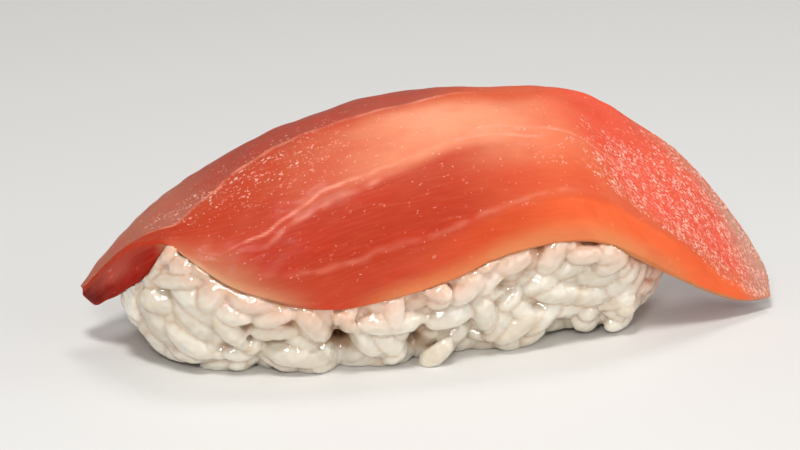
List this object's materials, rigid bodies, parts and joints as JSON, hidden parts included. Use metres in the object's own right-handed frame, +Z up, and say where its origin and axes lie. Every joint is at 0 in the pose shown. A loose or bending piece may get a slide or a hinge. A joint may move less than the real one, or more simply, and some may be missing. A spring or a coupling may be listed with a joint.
{
  "type": "tuna nigiri",
  "caption": "Slice of raw tuna cut on the bias and draped over a pressed ball of rice, its two pointed ends hanging past the rice.",
  "frame": {"origin": "middle of the flat face that the rice rests on", "axes": "+X runs along the slice towards its lower pointed end, -Y is the side where the slice hangs lower, +Z is up"},
  "size_m": [0.0766, 0.0275, 0.0266],
  "materials": {
    "tuna": "moist translucent raw flesh, satin to wet gloss",
    "rice": "moist translucent cooked grains, soft gloss"
  },
  "bodies": {
    "root": {"tuna_slice": "tuna", "rice_ball": "rice"}
  },
  "joints": []
}
